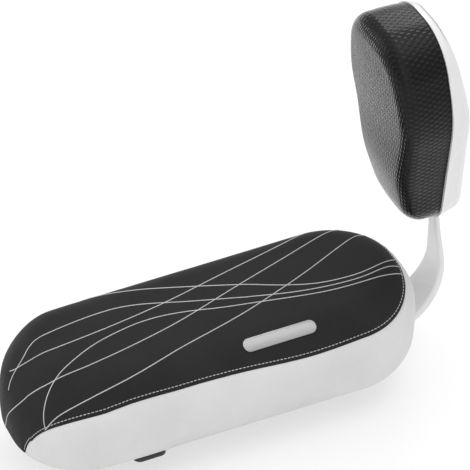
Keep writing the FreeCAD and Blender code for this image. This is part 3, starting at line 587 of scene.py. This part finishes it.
side_and_edge = np.array([pad_profile(index) for index in reversed(range(PAD_STATIONS))])
pad_points = face_rows(side_and_edge, 14)
pad_soft = grid_mesh("backrest_pad_soft", lean(pad_points), True)
map_embossing(pad_soft, pad_points)


# Materials

class Shader:
    """A material whose nodes are added one by one."""

    def __init__(self, name, color, roughness, **sockets):
        self.material = bpy.data.materials.new(name)
        self.material.use_nodes = True
        self.tree = self.material.node_tree
        self.main = self.tree.nodes["Principled BSDF"]
        self.main.inputs["Base Color"].default_value = (*color, 1)
        self.main.inputs["Roughness"].default_value = roughness
        for socket, value in sockets.items():
            self.main.inputs[socket.replace("_", " ")].default_value = value
        self.place = self.node("ShaderNodeTexCoord").outputs["Object"]

    def node(self, kind, inputs=None, **settings):
        made = self.tree.nodes.new(kind)
        for key, value in settings.items():
            setattr(made, key, value)
        for key, value in (inputs or {}).items():
            self.feed(made.inputs[key], value)
        return made

    def feed(self, socket, value):
        if isinstance(value, bpy.types.NodeSocket):
            self.tree.links.new(value, socket)
        else:
            socket.default_value = value

    def math(self, operation, *values):
        made = self.node("ShaderNodeMath", operation=operation)
        for socket, value in zip(made.inputs, values):
            self.feed(socket, value)
        return made.outputs[0]

    def noise(self, scale, detail=3.0, place=None, roughness=0.5):
        inputs = {"Scale": scale, "Detail": detail, "Roughness": roughness, "Vector": place or self.place}
        return self.node("ShaderNodeTexNoise", inputs).outputs["Fac"]

    def cells(self, scale):
        """Distance from the borders of small irregular cells."""
        inputs = {"Scale": scale, "Vector": self.place}
        return self.node("ShaderNodeTexVoronoi", inputs, feature="DISTANCE_TO_EDGE").outputs["Distance"]

    def span(self, value, low, high, new_low, new_high):
        made = self.node("ShaderNodeMapRange", {0: value, 1: low, 2: high, 3: new_low, 4: new_high})
        return made.outputs[0]

    def tint(self, value, dark, light):
        made = self.node("ShaderNodeMix", {0: value}, data_type="RGBA")
        made.inputs[6].default_value = (*dark, 1)
        made.inputs[7].default_value = (*light, 1)
        self.tree.links.new(made.outputs[2], self.main.inputs["Base Color"])

    def rough(self, value):
        self.tree.links.new(value, self.main.inputs["Roughness"])

    def bump(self, height, distance, strength=1.0):
        """A bump on top of the bumps that were added before."""
        made = self.node("ShaderNodeBump", {"Height": height, "Distance": distance, "Strength": strength})
        last = self.main.inputs["Normal"]
        if last.is_linked:
            self.tree.links.new(last.links[0].from_socket, made.inputs["Normal"])
        self.tree.links.new(made.outputs[0], last)

    def bump_coat(self):
        """Give the coat the bumps of the surface under it."""
        bumped = self.main.inputs["Normal"].links[0].from_socket
        self.tree.links.new(bumped, self.main.inputs["Coat Normal"])


def darker(color, share):
    return tuple(c * share for c in color)


def grained_leather(name, dark, light, roughness, grain, **sockets):
    """Coated leather: fine rounded pebbles with creases between them, painted shade in those creases, and
    slow changes of tone and gloss.
    """
    shader = Shader(name, light, roughness, **sockets)
    pebbles = shader.span(shader.cells(1100), 0.0, 0.16, 0.0, 1.0)
    slow = shader.noise(22, 3)
    fine = shader.noise(2600, 2)
    # The tone mixes slow random changes with painted shade: each pebble's colour darkens towards the creases
    # round it.
    tone = shader.math("ADD", slow, shader.math("MULTIPLY", pebbles, 0.35))
    shader.tint(shader.span(tone, 0.45, 0.95, 0.0, 1.0), dark, light)
    shader.rough(shader.span(slow, 0.3, 0.7, roughness - 0.05, roughness + 0.06))
    shader.bump(shader.math("ADD", pebbles, shader.math("MULTIPLY", fine, 0.5)), 0.0001 * grain)
    shader.bump(shader.noise(70, 2), 0.0012, 0.25)
    return shader.material


def embossed_leather():
    """Glossy coated leather with rows of small raised dots, set in a staggered pattern, with painted shade
    in the hollows between the dots.
    """
    # The darker colour is painted shade in the hollows between the dots; the lighter one is the tops of the
    # dots.
    dark, light = (0.003, 0.003, 0.0031), (0.009, 0.009, 0.0092)
    shader = Shader(
        "embossed_leather", light, 0.34,
        Specular_IOR_Level=0.1, Sheen_Weight=1.0, Sheen_Roughness=0.18,
        Coat_Weight=1.0, Coat_IOR=1.2, Coat_Roughness=0.3,
    )
    heights = []
    for layer, pitch, rows, rise in (("face", 2.6, 10.0, 1.0), ("side", 4.6, 8.0, 0.7)):
        spread = shader.node("ShaderNodeUVMap", uv_map=layer).outputs[0]
        parts = shader.node("ShaderNodeSeparateXYZ", {0: spread}).outputs
        across = shader.math("MULTIPLY", parts[0], 2 * math.pi / pitch)
        up = shader.math("MULTIPLY", parts[1], 2 * math.pi / rows)
        wave = shader.math("MULTIPLY", shader.math("COSINE", across), shader.math("COSINE", up))
        heights.append(shader.span(wave, -0.15, 0.75, 0.0, rise))
    choice = shader.node("ShaderNodeAttribute", attribute_name="on_side").outputs["Fac"]
    dots = shader.node("ShaderNodeMix", {0: choice, 2: heights[0], 3: heights[1]}).outputs[0]
    gloss = shader.span(shader.noise(30, 3), 0.3, 0.7, 0.27, 0.34)
    # Painted shade: the base colour darkens from the dot tops into the hollows. The side's dots are lower,
    # so the side comes out a little darker than the face.
    shader.tint(dots, dark, light)
    shader.rough(shader.math("ADD", gloss, shader.math("MULTIPLY", dots, 0.06)))
    shader.bump(dots, 0.0004)
    shader.bump(shader.noise(2400, 2), 0.00005)
    shader.bump_coat()
    return shader.material


def moulded(name, color, roughness, texture, **sockets):
    """Moulded plastic: a faint even texture and slow changes of gloss."""
    shader = Shader(name, color, roughness, **sockets)
    slow = shader.noise(14, 3)
    shader.tint(slow, darker(color, 0.96), color)
    shader.rough(shader.span(slow, 0.3, 0.7, roughness - 0.03, roughness + 0.05))
    shader.bump(shader.noise(1500, 2), texture)
    shader.bump(shader.noise(24, 2), 0.0006, 0.15)
    return shader.material


def paint(name, color, roughness, **sockets):
    """Sprayed paint with a slight orange peel."""
    shader = Shader(name, color, roughness, **sockets)
    slow = shader.noise(18, 4)
    shader.tint(slow, darker(color, 0.93), color)
    shader.rough(shader.span(shader.noise(60, 3), 0.3, 0.7, roughness - 0.04, roughness + 0.06))
    shader.bump(shader.noise(420, 2), 0.00012)
    return shader.material


def plated(name, color, roughness, stretch):
    """Bare or plated metal with fine drawn lines along X."""
    shader = Shader(name, color, roughness, Metallic=1.0)
    inputs = {"Vector": shader.place, "Scale": (1.0, stretch, stretch)}
    drawn = shader.node("ShaderNodeMapping", inputs).outputs[0]
    lines = shader.noise(160, 4, drawn)
    shader.tint(lines, darker(color, 0.82), color)
    shader.rough(shader.span(lines, 0.3, 0.7, roughness - 0.07, roughness + 0.08))
    shader.bump(lines, 0.00003)
    return shader.material


def plain_weave(name, color, roughness, scale):
    """Fibrous stuff such as board or thread."""
    shader = Shader(name, color, roughness)
    grain = shader.noise(scale, 5, roughness=0.65)
    shader.tint(grain, darker(color, 0.72), color)
    shader.bump(grain, 0.0003)
    return shader.material


# Each leather's darker colour is reached in its slow random tone changes and in the painted shade of its
# grain creases.
black_leather = grained_leather(
    "black_leather", (0.021, 0.021, 0.0212), (0.028, 0.028, 0.0283), 0.5, 0.55, Specular_IOR_Level=0.04,
)
white_leather = grained_leather(
    "white_leather", (0.64, 0.63, 0.632), (0.72, 0.71, 0.712), 0.5, 0.5, Specular_IOR_Level=0.4,
)
embossed = embossed_leather()
white_plastic = moulded(
    "white_plastic", (0.77, 0.77, 0.773), 0.3, 0.00001, Coat_Weight=0.3, Coat_Roughness=0.24,
)
black_plastic = moulded("black_plastic", (0.018, 0.018, 0.018), 0.55, 0.00008)
arm_paint = paint("arm_paint", (0.77, 0.77, 0.772), 0.34, Coat_Weight=0.25, Coat_Roughness=0.15)
black_paint = paint("black_steel_paint", (0.014, 0.014, 0.014), 0.4)
zinc = plated("zinc_steel", (0.62, 0.62, 0.6), 0.35, 3.0)
badge_metal = plated("badge_metal", (0.38, 0.38, 0.383), 0.4, 24.0)
board = plain_weave("board", (0.5, 0.36, 0.22), 0.7, 260)
thread = plain_weave("thread", (0.6, 0.6, 0.59), 0.6, 3000)
stripe = moulded("stripe_print", (0.52, 0.52, 0.52), 0.42, 0.00002)

NODE_MATERIALS = {
    "seat_base": black_plastic,
    "badge_plate": badge_metal,
    "front_clamp_plate": black_paint,
    "rear_clamp_plate": black_paint,
    "backrest_arm": arm_paint,
    "backrest_board": board,
    "backrest_shell": white_plastic,
}
for name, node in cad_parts.items():
    node.data.materials.clear()
    node.data.materials.append(NODE_MATERIALS.get(name, zinc))

for piece, material, slot in (
    (seat_top, black_leather, "black_leather"),
    (seat_band, white_leather, "white_leather"),
    (seat_thread, thread, "white_leather"),
    (pin_stripes, stripe, "white_leather"),
    (pad_soft, embossed, "embossed_leather"),
):
    piece.data.materials.append(material)
    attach(piece, "cushion")

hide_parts("seat_top_cover", "seat_foam")
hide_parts("seat_side_cover")
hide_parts("backrest_cover", "backrest_foam")


# Floor, light and camera, in metres

def white_floor(half, level, whiteness):
    """A pale floor that looks partly like a plain white backdrop to the camera and in reflections."""
    mesh = bpy.data.meshes.new("floor")
    corners = [(-half, -half, level), (half, -half, level), (half, half, level), (-half, half, level)]
    mesh.from_pydata(corners, [], [(0, 1, 2, 3)])
    floor = bpy.data.objects.new("floor", mesh)
    bpy.context.scene.collection.objects.link(floor)
    pale = Shader("floor_paint", (0.95, 0.95, 0.95), 1.0, Specular_IOR_Level=0.0)
    rays = pale.node("ShaderNodeLightPath").outputs
    looks = rays["Is Camera Ray"]
    for kind in ("Is Glossy Ray", "Is Transmission Ray"):
        looks = pale.math("MAXIMUM", looks, rays[kind])
    share = pale.math("MULTIPLY", looks, whiteness)
    backdrop = pale.node("ShaderNodeEmission").outputs[0]
    mixed = pale.node("ShaderNodeMixShader", {0: share, 1: pale.main.outputs[0], 2: backdrop}).outputs[0]
    pale.feed(pale.tree.nodes["Material Output"].inputs[0], mixed)
    mesh.materials.append(pale.material)
    return floor


def studio_sky(low, high):
    """White light from all round that grows from a low strength at the horizon to a high one above."""
    world = bpy.data.worlds.new("studio")
    bpy.context.scene.world = world
    world.use_nodes = True
    nodes, links = world.node_tree.nodes, world.node_tree.links
    nodes.clear()
    sky = nodes.new("ShaderNodeBackground")
    way = nodes.new("ShaderNodeSeparateXYZ")
    links.new(nodes.new("ShaderNodeTexCoord").outputs["Generated"], way.inputs[0])
    level = nodes.new("ShaderNodeMapRange")
    for socket, value in zip(level.inputs[1:5], (-0.05, 0.95, low, high)):
        socket.default_value = value
    links.new(way.outputs[2], level.inputs[0])
    links.new(level.outputs[0], sky.inputs[1])
    sky.inputs[0].default_value = (1, 1, 1, 1)
    links.new(sky.outputs[0], nodes.new("ShaderNodeOutputWorld").inputs[0])


def soft_lamp(name, place, aim, size, power):
    lamp = bpy.data.lights.new(name, "AREA")
    lamp.shape = "DISK"
    lamp.size = size
    lamp.energy = power
    holder = bpy.data.objects.new(name, lamp)
    holder.location = place
    holder.rotation_euler = (Vector(aim) - Vector(place)).to_track_quat("-Z", "Y").to_euler()
    bpy.context.scene.collection.objects.link(holder)


def photo_camera(target, azimuth, elevation, distance):
    """The camera that was fitted to the photograph."""
    half_picture, focal_length = 235, 2910
    camera = bpy.data.objects.new("camera", bpy.data.cameras.new("camera"))
    bpy.context.scene.collection.objects.link(camera)
    bpy.context.scene.camera = camera
    flat = math.cos(elevation)
    towards = Vector((math.sin(azimuth) * flat, -math.cos(azimuth) * flat, math.sin(elevation)))
    camera.location = Vector(target) + towards * distance
    camera.rotation_euler = towards.to_track_quat("Z", "Y").to_euler()
    camera.data.sensor_fit = "HORIZONTAL"
    camera.data.angle = 2 * math.atan(half_picture / focal_length)
    camera.data.clip_end = 50


white_floor(6, cad_box[0][2], 0.6)
studio_sky(0.3, 0.95)
soft_lamp("key", (-0.5, 0.2, 2.1), (0, 0, 0.1), 1.6, 9.5)
soft_lamp("back", (-0.95, -1.35, 1.35), (-0.1, 0, 0.2), 0.9, 8)
soft_lamp("fill", (0.5, 1.9, 1.0), (0, 0, 0.1), 1.8, 8.5)
soft_lamp("front", (1.55, -1.0, 1.1), (-0.15, 0, 0.25), 1.6, 12.5)
photo_camera((-0.0226, 0, 0.1437), math.radians(155.6), math.radians(39.6), 2.291)
bpy.context.scene.view_settings.view_transform = "Standard"
